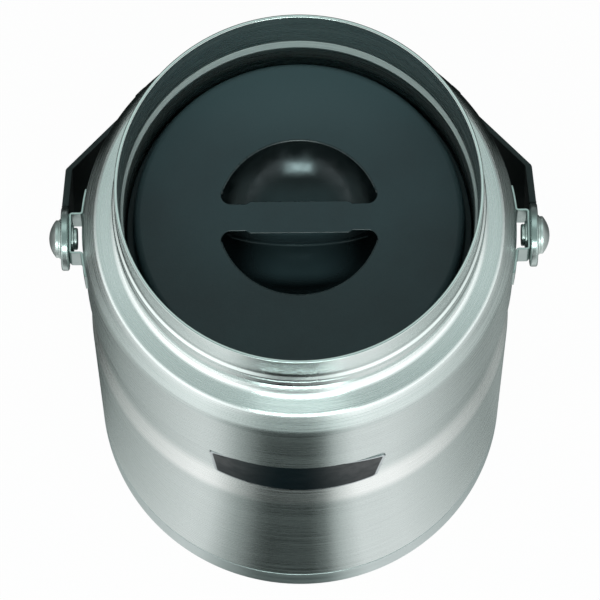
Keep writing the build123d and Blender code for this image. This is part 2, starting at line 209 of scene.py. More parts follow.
def onePoint(x, y, edgeAlongZ=0):
    # a single vertex at (x, y), or a single edge of a given height standing there, ready to extrude:
    # a small upright plane loses one side, and for a vertex the other side is merged
    deselectAll()
    side = edgeAlongZ or 1
    bpy.ops.mesh.primitive_plane_add(size=side * mm, rotation=(0, math.pi / 2, 0))
    bpy.ops.object.transform_apply(rotation=True)
    editMode()
    pickVerts(lambda px, py, pz: py > 0)
    bpy.ops.mesh.delete(type="VERT")
    if not edgeAlongZ:
        bpy.ops.mesh.select_all(action="SELECT")
        bpy.ops.mesh.merge(type="CENTER")
    bpy.ops.mesh.select_all(action="SELECT")
    bpy.ops.transform.translate(value=(x * mm, (y + side / 2) * mm, 0))


def drawLine(start, moves):
    # an outline in the XY plane: a move is (x, y), or (centre x, centre y, degrees, steps) for an arc
    onePoint(*start)
    place = Vector(start)
    for move in moves:
        if len(move) == 2:
            step = Vector(move) - place
            bpy.ops.mesh.extrude_vertices_move(
                TRANSFORM_OT_translate={"value": (step.x * mm, step.y * mm, 0)})
            place = Vector(move)
        else:
            centre = Vector(move[:2])
            turn = math.radians(move[2])
            bpy.ops.mesh.spin(steps=move[3], angle=-turn, center=(centre.x * mm, centre.y * mm, 0),
                              axis=(0, 0, 1))
            place = centre + Matrix.Rotation(turn, 2) @ (place - centre)
    bpy.ops.mesh.select_all(action="SELECT")
    bpy.ops.mesh.remove_doubles(threshold=mergeGap * mm)


def raiseOutline(foot, top, inset=0, corners=None, cornerCut=0):
    # fills the outline just drawn, rounds its corners, draws it in by inset and raises it to a prism
    bpy.ops.mesh.select_all(action="SELECT")
    bpy.ops.mesh.edge_face_add()
    if cornerCut:
        pickVerts(corners)
        bpy.ops.mesh.bevel(offset=cornerCut * mm, segments=6, affect="VERTICES")
    bpy.ops.mesh.select_mode(type="FACE")
    bpy.ops.mesh.select_all(action="SELECT")
    if inset:
        bpy.ops.mesh.inset(thickness=inset * mm, depth=0, use_boundary=True)
        bpy.ops.mesh.select_all(action="INVERT")
        bpy.ops.mesh.delete(type="FACE")
        bpy.ops.mesh.select_all(action="SELECT")
    bpy.ops.transform.translate(value=(0, 0, foot * mm))
    bpy.ops.mesh.extrude_region_move(TRANSFORM_OT_translate={"value": (0, 0, (top - foot) * mm)})
    return closeSolid()


def stripAlong(points, width):
    # a strip, width high along Z, whose plan runs through the points (x, y, bend offset, steps)
    onePoint(*points[0][:2], edgeAlongZ=width)
    for (x, y, *_), (nextX, nextY, *_) in zip(points, points[1:]):
        bpy.ops.mesh.extrude_edges_move(
            TRANSFORM_OT_translate={"value": ((nextX - x) * mm, (nextY - y) * mm, 0)})
    for x, y, *bend in points:
        if bend:
            pickEdges(lambda px, py, pz: math.hypot(px - x, py - y) < near)
            bpy.ops.mesh.bevel(offset=bend[0] * mm, segments=bend[1], affect="EDGES")
    return bpy.context.object


def addBlock(size, place):
    deselectAll()
    bpy.ops.mesh.primitive_cube_add(size=1, location=[v * mm for v in place])
    bpy.context.object.scale = [v * mm for v in size]
    bpy.ops.object.transform_apply(location=True, scale=True)
    return bpy.context.object


def addCrossRod(radius, length, segments=128):
    deselectAll()
    bpy.ops.mesh.primitive_cylinder_add(vertices=segments, radius=radius * mm, depth=length * mm,
                                        rotation=(0, math.pi / 2, 0))
    bpy.ops.object.transform_apply(rotation=True)
    return bpy.context.object


def faceOutward(piece, outward=True):
    # turns an open shell's faces to point away from the Z axis, or towards it
    mesh = bmesh.from_edit_mesh(piece.data)
    total = 0
    for face in mesh.faces:
        centre = face.calc_center_median()
        total += face.normal.dot(Vector((centre.x, centre.y, 0)))
    if (total > 0) != outward:
        bpy.ops.mesh.select_all(action="SELECT")
        bpy.ops.mesh.flip_normals()
    objectMode()


def thicken(piece, wall, side=-1):
    modify(piece, "SOLIDIFY", thickness=wall * mm, offset=side, use_even_offset=True)


# materials

def linearColour(hexValue):
    parts = [int(hexValue[i:i + 2], 16) / 255 for i in (1, 3, 5)]
    return [c / 12.92 if c <= 0.04045 else ((c + 0.055) / 1.055) ** 2.4 for c in parts] + [1]


def addNode(tree, kind, settings=None, inputs=None):
    # an input is a number, a colour or a vector, or else the socket to link it from
    node = tree.nodes.new("ShaderNode" + kind)
    for key, value in (settings or {}).items():
        setattr(node, key, value)
    for key, value in (inputs or {}).items():
        if isinstance(value, bpy.types.NodeSocket):
            tree.links.new(value, node.inputs[key])
        else:
            node.inputs[key].default_value = value
    return node


def newMaterial(name, **sockets):
    # a socket is named with _ for each of its spaces
    material = bpy.data.materials.new(name)
    material.use_nodes = True
    tree = material.node_tree
    shader = tree.nodes["Principled BSDF"]
    for key, value in sockets.items():
        shader.inputs[key.replace("_", " ")].default_value = value
    return material, tree, shader


def turnedCoords(tree, spacing, stretch):
    # lines that run round the Z axis, spacing apart up a wall or across a flat
    coords = addNode(tree, "TexCoord").outputs["Object"]
    split = addNode(tree, "SeparateXYZ", inputs={0: coords})
    flat = addNode(tree, "CombineXYZ", inputs={0: split.outputs[0], 1: split.outputs[1]})
    reach = addNode(tree, "VectorMath", {"operation": "LENGTH"}, {0: flat.outputs[0]})
    across = addNode(tree, "Math", {"operation": "SUBTRACT"},
                     {0: split.outputs[2], 1: reach.outputs["Value"]})
    lines = addNode(tree, "Math", {"operation": "MULTIPLY"},
                    {0: across.outputs[0], 1: 1 / (spacing * mm)})
    around = addNode(tree, "VectorMath", {"operation": "SCALE"},
                     {0: flat.outputs[0], "Scale": 1 / (stretch * mm)})
    aroundXY = addNode(tree, "SeparateXYZ", inputs={0: around.outputs[0]})
    return addNode(tree, "CombineXYZ", inputs={
        0: aroundXY.outputs[0], 1: aroundXY.outputs[1], 2: lines.outputs[0]}).outputs[0]


def spread(tree, value, low, high):
    return addNode(tree, "MapRange", inputs={
        "Value": value, "From Min": 0.3, "From Max": 0.7, "To Min": low, "To Max": high}).outputs[0]


def mixColours(tree, value, colours):
    mix = addNode(tree, "Mix", {"data_type": "RGBA"}, {0: value})
    mix.inputs[6].default_value = linearColour(colours[0])
    mix.inputs[7].default_value = linearColour(colours[1])
    return mix.outputs[2]


def bumpFrom(tree, shader, height, depth):
    bump = addNode(tree, "Bump", inputs={"Height": height, "Distance": depth * mm})
    tree.links.new(bump.outputs[0], shader.inputs["Normal"])


def bandAlong(tree, axis, foot, lowFull, highFull, top):
    # 1 between two places in millimetres along an axis, easing to 0 on either side
    coords = addNode(tree, "TexCoord").outputs["Object"]
    place = addNode(tree, "SeparateXYZ", inputs={0: coords}).outputs[axis]
    rise = addNode(tree, "MapRange", {"interpolation_type": "SMOOTHSTEP"}, {
        "Value": place, "From Min": foot * mm, "From Max": lowFull * mm}).outputs[0]
    fall = addNode(tree, "MapRange", {"interpolation_type": "SMOOTHSTEP"}, {
        "Value": place, "From Min": top * mm, "From Max": highFull * mm}).outputs[0]
    return addNode(tree, "Math", {"operation": "MULTIPLY"}, {0: rise, 1: fall}).outputs[0]


def tintBand(tree, tint, share, colour):
    mix = addNode(tree, "Mix", {"data_type": "RGBA"}, {0: share, 6: tint})
    mix.inputs[7].default_value = linearColour(colour)
    return mix.outputs[2]


def brushedSteel(name, colours, rough, anisotropy, spacing, depth, paintedLight=None):
    # stainless sheet, brushed round the body: highlights stretch up and down across the brush lines.
    # Real brush lines are about 0.1 mm apart, drawn wider so that they show.
    material, tree, shader = newMaterial(name, Metallic=1.0, Anisotropic=anisotropy,
                                         Anisotropic_Rotation=0.25)
    noise = addNode(tree, "TexNoise", inputs={
        "Vector": turnedCoords(tree, spacing, 45), "Scale": 1.0, "Detail": 3.0, "Roughness": 0.65})
    value = noise.outputs["Fac"]
    tree.links.new(spread(tree, value, rough - 0.05, rough + 0.05), shader.inputs["Roughness"])
    tint = mixColours(tree, spread(tree, value, 0, 1), colours)
    if paintedLight:
        # painted highlights make the bend and the neck paler, a painted shade line darkens the sharp
        # crease, and a painted reflection of the folded strap's arms darkens the wall beside them
        tint = tintBand(tree, tint, bandAlong(tree, 2, *paintedLight["bend"]), "#f2f6f4")
        tint = tintBand(tree, tint, bandAlong(tree, 2, *paintedLight["neck"]), "#f0f5f4")
        tint = tintBand(tree, tint, bandAlong(tree, 2, *paintedLight["crease"]), "#5f6b69")
        strapShade = addNode(tree, "Math", {"operation": "MULTIPLY"}, {
            0: bandAlong(tree, 2, *paintedLight["strapShadeHeight"]), 1: bandAlong(tree, 1, *paintedLight["strapShadeBehind"])})
        tint = tintBand(tree, tint, strapShade.outputs[0], "#4c5654")
    tree.links.new(tint, shader.inputs["Base Color"])
    tangent = addNode(tree, "Tangent", {"direction_type": "RADIAL", "axis": "Z"})
    tree.links.new(tangent.outputs[0], shader.inputs["Tangent"])
    bumpFrom(tree, shader, value, depth)
    return material


def polishedSteel(name, colour, rough):
    # metal that is buffed, tumbled or rolled: bright highlights with smears of handling 6 mm apart
    material, tree, shader = newMaterial(name, Metallic=1.0)
    shader.inputs["Base Color"].default_value = linearColour(colour)
    coords = addNode(tree, "TexCoord").outputs["Object"]
    smear = addNode(tree, "TexNoise", inputs={
        "Vector": coords, "Scale": 1 / (6 * mm), "Detail": 4.0})
    tree.links.new(spread(tree, smear.outputs["Fac"], rough * 0.8, rough * 1.25),
                   shader.inputs["Roughness"])
    bumpFrom(tree, shader, smear.outputs["Fac"], 0.0015)
    return material


def mouldedSkin(name, colours, rough, grain, depth, paintedSheen=None, **sockets):
    # moulded or coated skin: a fine even grain, a soft sheen and a slow drift of tone 14 mm apart. A
    # real grain is about 0.1 mm, drawn wider so that it shows. A painted sheen is a paler patch of
    # painted light, given by its band along X, its band along Y and its colour.
    material, tree, shader = newMaterial(name, **sockets)
    coords = addNode(tree, "TexCoord").outputs["Object"]
    fine = addNode(tree, "TexNoise", inputs={
        "Vector": coords, "Scale": 1 / (grain * mm), "Detail": 2.0})
    cloud = addNode(tree, "TexNoise", inputs={
        "Vector": coords, "Scale": 1 / (14 * mm), "Detail": 3.0})
    tint = mixColours(tree, spread(tree, cloud.outputs["Fac"], 0, 1), colours)
    if paintedSheen:
        alongX, alongY, sheenColour = paintedSheen
        patch = addNode(tree, "Math", {"operation": "MULTIPLY"}, {
            0: bandAlong(tree, 1, *alongY), 1: bandAlong(tree, 0, *alongX)})
        tint = tintBand(tree, tint, patch.outputs[0], sheenColour)
    tree.links.new(tint, shader.inputs["Base Color"])
    tree.links.new(spread(tree, fine.outputs["Fac"], rough - 0.06, rough + 0.06),
                   shader.inputs["Roughness"])
    bumpFrom(tree, shader, fine.outputs["Fac"], depth)
    return material


# where light and shade are painted on the casing, as bands in millimetres that ease in and out
casingPaintedLight = {"bend": (84, 91, 97, 106), "neck": (157, 161, 200, 210),
                 "crease": (121.7, 122.1, 122.4, 122.9),
                 "strapShadeHeight": (100, 122, 156, 159), "strapShadeBehind": (14, 26, 44, 54)}
# 18/8 stainless sheet, brushed round the body: pale and dark streaks run up the wall across fine lines,
# with painted highlights on the bend and the neck, and painted shade at the crease and beside the strap
casingSteel = brushedSteel("brushedStainlessSheet", ("#bcc7c5", "#d2dbd9"), 0.27, 0.9, 0.32, 0.002,
                           paintedLight=casingPaintedLight)
# the same stainless sheet pressed into the base cup: brushed alike and a touch duller
baseSteel = brushedSteel("brushedStainlessBase", ("#b0bbba", "#bfc9c8"), 0.34, 0.9, 0.4, 0.002)
# stainless steel turned on a lathe, on the step inside the neck: a pale, wide sheen with no streak
stepSteel = brushedSteel("turnedStainlessStep", ("#d9e2e0", "#e6eeec"), 0.62, 0.3, 0.6, 0.003)
# stainless sheet rubbed satin inside the vessel: soft, blurred reflections
vesselSteel = brushedSteel("satinStainlessVessel", ("#b2bebc", "#bfcac8"), 0.28, 0.5, 0.6, 0.003)
# stainless neck, polished on the lathe: smooth, with a clearer streak than the wall's
neckSteel = brushedSteel("lathePolishedNeck", ("#d6dfdd", "#dfe7e5"), 0.2, 0.85, 1.2, 0.0003)
# stainless lip, rolled and buffed: a thin bright line round the mouth
lipSteel = polishedSteel("buffedStainlessLip", "#c9d2d0", 0.2)
# stainless beads, rolled and buffed: bright crests and thin dark valleys
beadSteel = polishedSteel("buffedStainlessBeads", "#ccd5d3", 0.24)
# stainless strip, stamped and bent: a plain grey sheen that breaks at the bends
bracketSteel = polishedSteel("stampedStainlessBracket", "#b2c0bd", 0.32)
# stainless plate, stamped and tumbled: an even sheen, with rounded edges that catch the light
eyeSteel = polishedSteel("tumbledStainlessEye", "#b2c0bd", 0.28)
# stainless bar, turned and left fine-matt: a pale dome with one soft highlight
rivetSteel = polishedSteel("turnedStainlessRivet", "#dbe4e1", 0.42)
# aluminium sheet, rolled bright: a thin pale line round the inlay
badgeAluminium = polishedSteel("rolledAluminiumBadge", "#b3bcbe", 0.3)
# polypropylene moulded in a spark-eroded tool: an even dark matt, with a painted sheen that makes the
# back of the lid paler
lidPlastic = mouldedSkin("erodedPolypropyleneLid", ("#1e2f34", "#22363b"), 0.5, 0.35, 0.02,
                         paintedSheen=((-60, -20, 20, 60), (14, 42, 60, 70), "#31454a"), IOR=1.49)
# polypropylene moulded against smooth steel: the recesses' rounded edges catch a thin line of light
rimPlastic = mouldedSkin("smoothPolypropyleneRim", ("#1c282b", "#202e31"), 0.25, 3, 0.0005, IOR=1.49)
# polypropylene moulded against polished steel: near black and glossy, with paler patches of painted
# reflected light in the bowls
recessPlastic = mouldedSkin("polishedPolypropyleneRecess", ("#030506", "#05090a"), 0.2, 3, 0.0005,
                            paintedSheen=((-18, -4, 4, 18), (-19, -13, 7, 15), "#38474b"), IOR=1.49,
                            Specular_Tint=(0.8, 0.96, 1.0, 1.0))
# the lower cup's polypropylene, moulded in an eroded tool: matt and a little paler than the top
cupPlastic = mouldedSkin("erodedPolypropyleneCup", ("#262d2e", "#2b3233"), 0.48, 0.35, 0.02, IOR=1.49)
# polypropylene grip, moulded with a coarse grain: black, with hardly a highlight
gripPlastic = mouldedSkin("grainedPolypropyleneGrip", ("#17191a", "#1c1f20"), 0.55, 0.5, 0.04, IOR=1.49)
# steel strap, powder coated: satin black with a faint pebbled skin
strapCoat = mouldedSkin("powderCoatedStrap", ("#0c1112", "#111718"), 0.38, 0.45, 0.01)
# the same coat on the strap's cut edges, where it lies thin and wears: a narrow grey-green line
edgeCoat = mouldedSkin("powderCoatedStrapEdge", ("#2f3b3b", "#3a4646"), 0.42, 0.45, 0.01)
# baked enamel on the badge: smooth and near black, with little shine
badgeEnamel = mouldedSkin("enamelBadgeInlay", ("#0b1417", "#0e191c"), 0.35, 3, 0.0005, IOR=1.16,
                          Specular_Tint=(0.75, 0.95, 1.0, 1.0))
# silicone, pressed in a fine-blasted mould: dull mid grey
gasketRubber = mouldedSkin("siliconeGasket", ("#5a5f60", "#636869"), 0.6, 0.4, 0.02, IOR=1.41)
# rigid foam, foamed in its cavity: cream, with small closed cells
foamCore = mouldedSkin("rigidFoamCore", ("#d9d3bd", "#e4dfcc"), 0.8, 0.7, 0.2)
# solder glass, fused in the oven: a dark grey-green bead with a wet gloss
sealGlass = mouldedSkin("fusedSealGlass", ("#3c4442", "#4a524f"), 0.15, 0.5, 0.01, IOR=1.6)
# metal powder pressed to a pill: dull grey and grainy
getterPill = mouldedSkin("pressedGetterPill", ("#73736f", "#85847f"), 0.7, 0.2, 0.05)
# copper-coloured foil, rolled and annealed: warm and bright, with soft marks
foilCopper = polishedSteel("annealedCopperFoil", "#c9906f", 0.24)
print("materials ready")


# the camera and the studio

# place in millimetres and turns in degrees
cameraFit = {"place": (-0.553, -464.933, 1476.848), "down": 71.454, "yaw": 0.073, "roll": -0.435,
             "lens": 305.31, "sensor": 36}


def addCamera(fit):
    down, yaw, roll = (math.radians(fit[key]) for key in ("down", "yaw", "roll"))
    ahead = Vector((math.sin(yaw) * math.cos(down), math.cos(yaw) * math.cos(down), -math.sin(down)))
    side = Vector((math.cos(yaw), -math.sin(yaw), 0))
    up = side.cross(ahead)
    right = side * math.cos(roll) + up * math.sin(roll)
    top = up * math.cos(roll) - side * math.sin(roll)
    data = bpy.data.cameras.new("camera")
    data.sensor_width = fit["sensor"]
    data.lens = fit["lens"]
    data.clip_start = 0.05
    data.clip_end = 30
    camera = bpy.data.objects.new("camera", data)
    bpy.context.scene.collection.objects.link(camera)
    turn = Matrix((right, top, -ahead)).transposed().to_4x4()
    camera.matrix_world = Matrix.Translation(Vector(fit["place"]) * mm) @ turn
    bpy.context.scene.camera = camera


# the horizon's greys are by the angle from the front, in degrees, and each lamp is
# (azimuth, elevation, distance in metres, size in metres, watts)
studio = {"floorSize": 8.0, "floorWhite": 0.97, "skyLow": 0.3, "skyHigh": 0.75, "level": 2.0,
          "overhead": "#788482", "lampTint": "#eafaf7",
          "horizon": ((-180, 0.08), (-125, 0.1), (-108, 0.36), (-94, 0.68), (-76, 0.78), (-57, 0.88),
                      (-38, 0.95), (-22, 0.72), (-12, 0.1), (3, 0.05), (10, 0.5), (20, 0.95),
                      (38, 0.9), (57, 0.78), (76, 0.68), (94, 0.6), (108, 0.33), (125, 0.1),
                      (180, 0.08)),
          "lamps": {"front": (0, 37, 1.3, (0.66, 0.24), 5.8), "rear": (180, 66, 1.4, (1.2, 0.7), 1.5)}}


def addLamp(name, azimuth, elevation, reach, size, power):
    # azimuth 0 is the front, and the lamp looks at the middle of the jar
    turn, rise = math.radians(azimuth), math.radians(elevation)
    target = Vector((0, 0, 0.1))
    place = target + reach * Vector((math.sin(turn) * math.cos(rise), -math.cos(turn) * math.cos(rise),
                                     math.sin(rise)))
    data = bpy.data.lights.new(name, "AREA")
    data.shape = "RECTANGLE"
    data.size, data.size_y = size
    data.energy = power
    data.color = linearColour(studio["lampTint"])[:3]
    lamp = bpy.data.objects.new(name, data)
    bpy.context.scene.collection.objects.link(lamp)
    lamp.location = place
    lamp.rotation_euler = (target - place).to_track_quat("-Z", "Y").to_euler()


def greyAround(tree, x, y, greys):
    # a grey that depends on the angle round the Z axis, 0 at the front and growing to the right
    ahead = addNode(tree, "Math", {"operation": "MULTIPLY"}, {0: y, 1: -1.0})
    turn = addNode(tree, "Math", {"operation": "ARCTAN2"}, {0: x, 1: ahead.outputs[0]})
    share = addNode(tree, "Math", {"operation": "MULTIPLY_ADD"}, {
        0: turn.outputs[0], 1: 0.5 / math.pi, 2: 0.5})
    ramp = addNode(tree, "ValToRGB", inputs={0: share.outputs[0]})
    while len(ramp.color_ramp.elements) < len(greys):
        ramp.color_ramp.elements.new(0.5)
    for element, (degrees, grey) in zip(ramp.color_ramp.elements, greys):
        element.position = degrees / 360 + 0.5
        element.color = (grey * (0.9 + 0.1 * grey), grey, grey * (0.97 + 0.03 * grey), 1)
    return ramp.outputs[0]


def addSky(look):
    # pale round the horizon and darker overhead, as in a white cove under a dark ceiling
    world = bpy.context.scene.world or bpy.data.worlds.new("studio")
    bpy.context.scene.world = world
    world.use_nodes = True
    tree = world.node_tree
    tree.nodes.clear()
    coords = addNode(tree, "TexCoord").outputs["Generated"]
    split = addNode(tree, "SeparateXYZ", inputs={0: coords})
    around = greyAround(tree, split.outputs[0], split.outputs[1], look["horizon"])
    level = addNode(tree, "MapRange", {"interpolation_type": "SMOOTHSTEP"}, {
        "Value": split.outputs[2], "From Min": look["skyLow"], "From Max": look["skyHigh"]}).outputs[0]
    grey = addNode(tree, "Mix", {"data_type": "RGBA"}, {0: level, 6: around})
    grey.inputs[7].default_value = linearColour(look["overhead"])
    sky = addNode(tree, "Background", inputs={
        "Color": grey.outputs[2], "Strength": look["level"]})
    addNode(tree, "OutputWorld", inputs={"Surface": sky.outputs[0]})


def addFloor(look):
    # white to the camera and in reflections, and a plain pale sheet that takes the shadow otherwise
    deselectAll()
    bpy.ops.mesh.primitive_plane_add(size=look["floorSize"], location=(0, 0, 0))
    floor = bpy.context.object
    floor.name = "floor"
    material, tree, shader = newMaterial("paperFloor", Roughness=0.9)
    shader.inputs["Base Color"].default_value = (0.8, 0.8, 0.8, 1)
    path = addNode(tree, "LightPath")
    seen = addNode(tree, "Math", {"operation": "ADD"}, {
        0: path.outputs["Is Camera Ray"], 1: path.outputs["Is Glossy Ray"]})
    seenAll = addNode(tree, "Math", {"operation": "ADD", "use_clamp": True}, {
        0: seen.outputs[0], 1: path.outputs["Is Transmission Ray"]})
    share = addNode(tree, "Math", {"operation": "MULTIPLY"}, {
        0: seenAll.outputs[0], 1: look["floorWhite"]})
    white = addNode(tree, "Emission", inputs={"Color": (1, 1, 1, 1), "Strength": 1.0})
    pick = addNode(tree, "MixShader", inputs={
        0: share.outputs[0], 1: shader.outputs[0], 2: white.outputs[0]})
    tree.links.new(pick.outputs[0], tree.nodes["Material Output"].inputs["Surface"])
    floor.data.materials.append(material)


# the card's grey by its angle from the front, in degrees
card = {"radius": 1.5, "height": 0.0004,
        "greys": ((-180, 0.02), (-100, 0.02), (-94, 0.02), (-87, 0.14), (-78, 0.34), (-62, 0.6),
                  (-48, 0.83), (-38, 0.96), (-32, 0.91), (-24, 0.45), (-15, 0.06), (-11, 0.0),
                  (3, 0.0), (8, 0.12), (13, 0.6), (20, 1.0), (34, 1.0), (50, 0.75), (64, 0.5),
                  (77, 0.34), (87, 0.36), (96, 0.28), (112, 0.06), (130, 0.02), (180, 0.02))}


def addReflectorCard(size):
    # a round card on the floor that only the metal sees: pale at the sides, a dark wedge in front
    # and a fall to dark behind, which gives the body its streak and its dark edges
    deselectAll()
    bpy.ops.mesh.primitive_circle_add(vertices=96, radius=size["radius"], fill_type="NGON",
                                      location=(0, 0, size["height"]))
    disc = bpy.context.object
    disc.name = "reflectorCard"
    material = bpy.data.materials.new("paintedCard")
    material.use_nodes = True
    tree = material.node_tree
    tree.nodes.clear()
    coords = addNode(tree, "TexCoord").outputs["Object"]
    split = addNode(tree, "SeparateXYZ", inputs={0: coords})
    around = greyAround(tree, split.outputs[0], split.outputs[1], size["greys"])
    glow = addNode(tree, "Emission", inputs={"Color": around, "Strength": 1.0})
    addNode(tree, "OutputMaterial", inputs={"Surface": glow.outputs[0]})
    disc.data.materials.append(material)
    disc.visible_camera = False
    disc.visible_diffuse = False
    disc.visible_shadow = False
    disc.visible_transmission = False


addCamera(cameraFit)
addSky(studio)
addFloor(studio)
addReflectorCard(card)
for lampName, (azimuth, elevation, reach, size, power) in studio["lamps"].items():
    addLamp(lampName + "Lamp", azimuth, elevation, reach, size, power)
bpy.context.scene.view_settings.view_transform = "Standard"
print("camera and studio ready")


# body: casing, vessel and base

casing = {"rim": 50.0, "wall": 0.5, "foot": 2.6, "footInset": 0.7, "seam": 12.3, "flareFoot": 99.5,
          "flareTop": 82.5, "panelInset": 1.6, "creaseFoot": 64.9, "creaseTop": 64.3,
          "shoulderFoot": 33.2, "shoulderTop": 27.3, "shoulderInset": 3.8, "collarTop": 25.4,
          "lowerBead": (21.0, 16.0), "upperBead": (15.2, 11.6), "beadCrest": 1.0, "beadRoot": 0.15,
          "lipRound": 0.4, "beadMargin": 0.3}
lipBand = 0.8  # how far down from the mouth the buffed lip reaches


def below(drop):
    # the height of a place that lies drop below the mouth
    return jarHeight - drop


panelCorners = [
    (bodyRadius, below(casing["flareFoot"]), 5.0, 12),
    (bodyRadius - casing["panelInset"], below(casing["flareTop"]), 7.0, 14),
    (bodyRadius - casing["panelInset"], below(casing["creaseFoot"]), 0.28, 5),
]


def makeCasing(size):
    rim, crest = size["rim"], size["rim"] + size["beadCrest"]
    lowFoot, lowTop = size["lowerBead"]
    highFoot, highTop = size["upperBead"]
    slope = size["beadCrest"]
    corners = [
        (bodyRadius - size["footInset"], size["foot"]),
        (bodyRadius - size["footInset"], size["seam"], 0.2, 3),
        (bodyRadius, size["seam"] + 0.5, 0.25, 4),
        *panelCorners,
        (bodyRadius, below(size["creaseTop"]), 0.28, 5),
        (bodyRadius, below(size["shoulderFoot"]), 1.6, 8),
        (bodyRadius - size["shoulderInset"], below(size["shoulderTop"]), 0.7, 6),
        (rim, below(size["collarTop"]), 2.2, 10),
        (rim, below(lowFoot), 0.35, 4),
        (crest, below(lowFoot - slope), 0.38, 4),
        (crest, below(lowTop + slope), 0.38, 4),
        (rim + size["beadRoot"], below((lowTop + highFoot) / 2), 0.25, 4),
        (crest, below(highFoot - slope), 0.38, 4),
        (crest, below(highTop + slope), 0.38, 4),
        (rim, below(highTop), 0.35, 4),
        (rim, jarHeight),
    ]
    piece = turnRings(corners, 288)
    faceOutward(piece)
    thicken(piece, size["wall"])
    editMode()
    pickEdges(lambda x, y, z: z > jarHeight - near and math.hypot(x, y) > rim - near)
    bpy.ops.mesh.bevel(offset=size["lipRound"] * mm, segments=5, affect="EDGES")
    closeSolid()
    finishPiece(piece, "casing_shell", "jar", casingSteel, ["outer_casing"])
    beadTop, beadFoot = below(highTop) + size["beadMargin"], below(lowFoot) - size["beadMargin"]
    repaint(piece, neckSteel, lambda place, normal: place.z > beadTop)
    repaint(piece, beadSteel, lambda place, normal: beadFoot < place.z < beadTop)
    repaint(piece, lipSteel, lambda place, normal: place.z > jarHeight - lipBand)


vessel = {"lip": 1.0, "wall": 0.5, "taper": 16.7, "step": 20.3, "taperIn": 0.35, "stepIn": 0.9,
          "seat": 39.0, "seatIn": 2.5, "seatSlope": 0.6, "throat": 3.0, "shoulder": 9.4,
          "belly": 5.55, "floor": 11.0, "lipRound": 0.35, "turned": (0.9, 0.1)}


def makeVessel(size):
    neck = casing["rim"] - size["lip"]
    well = neck - size["stepIn"]
    throat = well - size["seatIn"]
    seat = below(size["seat"])
    throatTop = seat - size["seatSlope"]
    throatFoot = throatTop - size["throat"]
    belly = bodyRadius - size["belly"]
    corners = [
        (0, size["floor"]),
        (belly, size["floor"], 12.0, 14),
        (belly, throatFoot - size["shoulder"], 2.2, 8),
        (throat, throatFoot, 0.5, 4),
        (throat, throatTop, 0.5, 4),
        (well, seat, 0.5, 4),
        (well, below(size["step"]), 0.3, 4),
        (neck - size["taperIn"], below(size["taper"]), 0.3, 4),
        (neck, jarHeight),
    ]
    piece = turnRings(corners, 288)
    faceOutward(piece, outward=False)
    thicken(piece, size["wall"])
    editMode()
    pickEdges(lambda x, y, z: z > jarHeight - near and math.hypot(x, y) < neck + near)
    bpy.ops.mesh.bevel(offset=size["lipRound"] * mm, segments=5, affect="EDGES")
    closeSolid()
    finishPiece(piece, "vessel_shell", "jar", vesselSteel, ["inner_vessel"])
    footMargin, topMargin = size["turned"]
    stepFoot, stepTop = below(size["step"]) + footMargin, below(size["taper"]) + topMargin
    repaint(piece, stepSteel, lambda place, normal: stepFoot < place.z < stepTop)
    repaint(piece, lipSteel, lambda place, normal: place.z > jarHeight - lipBand)


base = {"height": 12.05, "wall": 0.65, "corner": 2.2, "groove": 48.0, "grooveWidth": 5.0,
        "grooveDepth": 0.8, "edge": 0.18}


def makeBase(size):
    inner = size["groove"] - size["grooveWidth"] / 2
    outer = size["groove"] + size["grooveWidth"] / 2
    depth = size["grooveDepth"]
    corners = [
        (0, 0),
        (inner, 0, 0.2, 4),
        (inner + depth, depth, 0.2, 4),
        (outer - depth, depth, 0.2, 4),
        (outer, 0, 0.2, 4),
        (bodyRadius, 0, size["corner"], 8),
        (bodyRadius, size["height"]),
    ]
    piece = turnRings(corners, 288)
    faceOutward(piece)
    thicken(piece, size["wall"])
    editMode()
    pickEdges(lambda x, y, z: z > size["height"] - near)
    bpy.ops.mesh.bevel(offset=size["edge"] * mm, segments=3, affect="EDGES")
    closeSolid()
    finishPiece(piece, "base_cup", "jar", baseSteel, ["base_cover"])


makeCasing(casing)
makeVessel(vessel)
makeBase(base)
print("body ready")


# badge: a bent plate with a bright border and a bare dark inlay

badge = {"topHalf": 24.8, "footHalf": 22.9, "height": 22.6, "topArch": 5.6, "footArch": 2.2,
         "corner": 1.3, "plate": 0.5, "border": 0.9, "inlayDepth": 0.3, "inlayProud": 0.05,
         "offset": -1.2, "middle": 110.4, "tilt": 2.2, "edge": 0.12}


def makeBadgeBlock(size, inset):
    half = size["height"] / 2
    topHalf, topArch = size["topHalf"], size["topArch"]
    footHalf, footArch = size["footHalf"], size["footArch"]
    topRadius = (topHalf**2 + topArch**2) / (2 * topArch)
    footRadius = (footHalf**2 + footArch**2) / (2 * footArch)
    topSweep = 2 * math.degrees(math.asin(topHalf / topRadius))
    footSweep = 2 * math.degrees(math.asin(footHalf / footRadius))
    drawLine((topHalf, half - topArch), [
        (0, half - topRadius, topSweep, 20),
        (-footHalf, footArch - half),
        (0, footRadius - half, footSweep, 20),
        (topHalf, half - topArch),
    ])
    block = raiseOutline(0, bodyRadius + 10, inset, lambda x, y, z: abs(x) > footHalf - 0.1,
                         size["corner"])
    block.rotation_euler = (math.pi / 2, math.radians(size["tilt"]), 0)
    block.location = (size["offset"] * mm, 0, size["middle"] * mm)
    applyPlace(block)
    return block


def makePanelShell(foot, top):
    # a shell that follows the casing's panel, from foot to top above its surface
    piece = turnRings([(corner[0] + foot, *corner[1:]) if n == 1 else (corner[0] + foot, corner[1])
                       for n, corner in enumerate(panelCorners)], 288)
    faceOutward(piece)
    thicken(piece, top - foot, side=1)
    return piece


